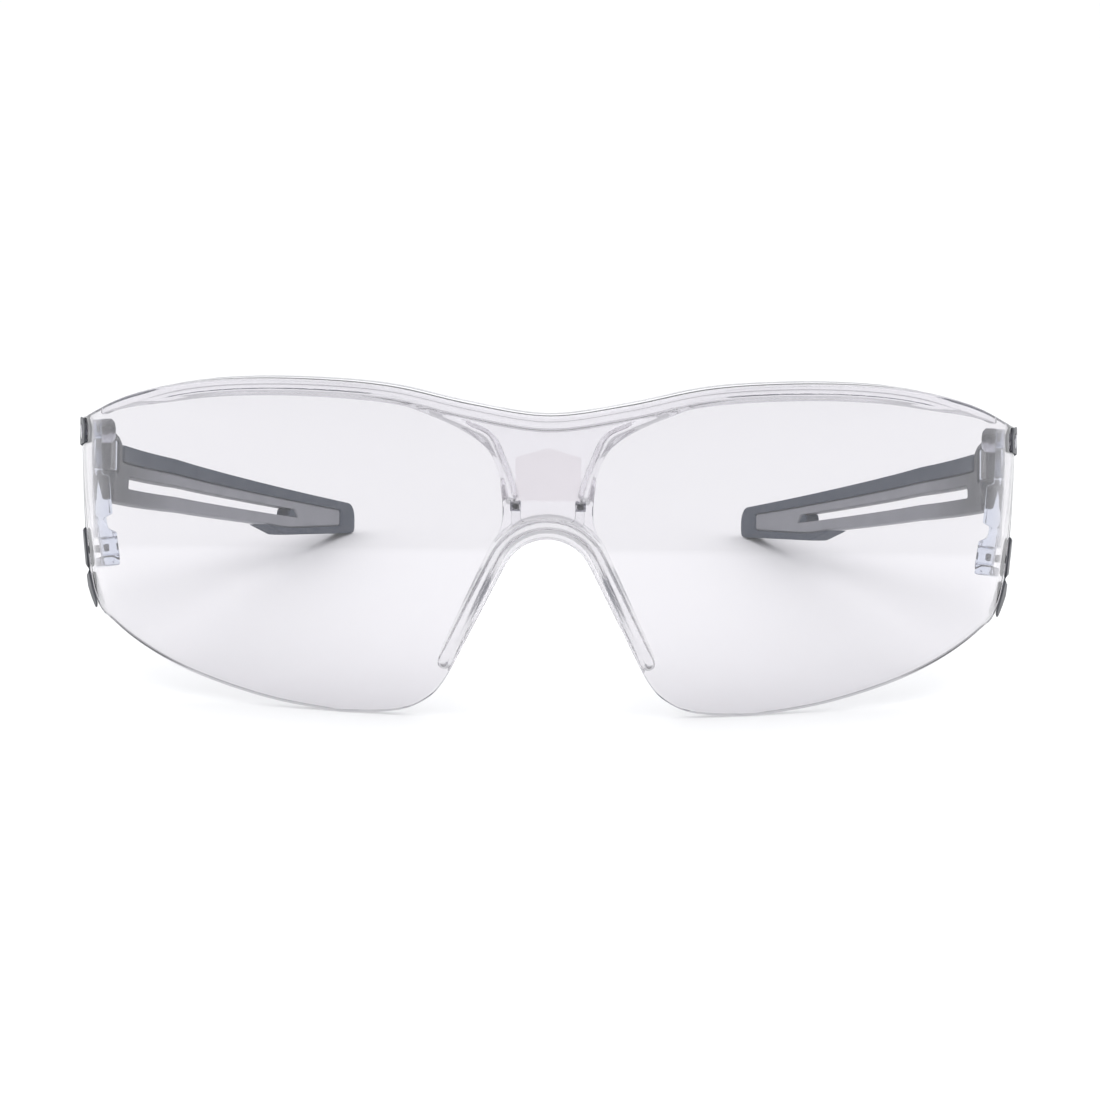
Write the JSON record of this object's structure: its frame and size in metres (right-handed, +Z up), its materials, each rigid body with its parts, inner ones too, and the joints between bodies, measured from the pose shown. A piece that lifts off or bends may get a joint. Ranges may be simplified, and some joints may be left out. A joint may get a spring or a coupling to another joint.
{
  "type": "safety glasses",
  "caption": "Wraparound safety glasses with a one-piece clear lens, soft nose piece and slotted folding temples with soft grips.",
  "frame": {"origin": "centre of the bounding box at table height, as the glasses stand open on the lens cheeks and the temple tips", "axes": "+X towards the wearer's left, +Y back along the temples, +Z up; the wearer looks along -Y"},
  "size_m": [0.1524, 0.1544, 0.0513],
  "materials": {
    "clear_lens": "clear polycarbonate, polished",
    "clear_frame": "clear moulded plastic",
    "soft_clear": "soft translucent elastomer",
    "dark_trim": "satin dark grey",
    "rivet_grey": "smoky grey, smooth",
    "temple_grey": "satin mid grey",
    "soft_grip": "soft-touch blue-grey"
  },
  "bodies": {
    "front": {"lens": "clear_lens", "brow_bar": "clear_frame", "nose_piece": "soft_clear", "left_hinge_carrier": "clear_frame", "right_hinge_carrier": "clear_frame", "left_side_guard": "dark_trim", "right_side_guard": "dark_trim", "left_guard_rivet": "rivet_grey", "right_guard_rivet": "rivet_grey", "left_hinge_pin": "dark_trim", "right_hinge_pin": "dark_trim"},
    "left_temple": {"left_temple_core": "temple_grey", "left_temple_grip": "soft_grip"},
    "right_temple": {"right_temple_core": "temple_grey", "right_temple_grip": "soft_grip"}
  },
  "joints": [
    {"name": "left_temple_hinge", "type": "hinge", "parent": "front", "child": "left_temple", "pos_m": [0.0713, -0.04022, 0.0343], "axis": [0, 0.2419, 0.9703], "range_deg": [0, 78]},
    {"name": "right_temple_hinge", "type": "hinge", "parent": "front", "child": "right_temple", "pos_m": [-0.0713, -0.04022, 0.0343], "axis": [0, -0.2419, -0.9703], "range_deg": [0, 64]}
  ]
}
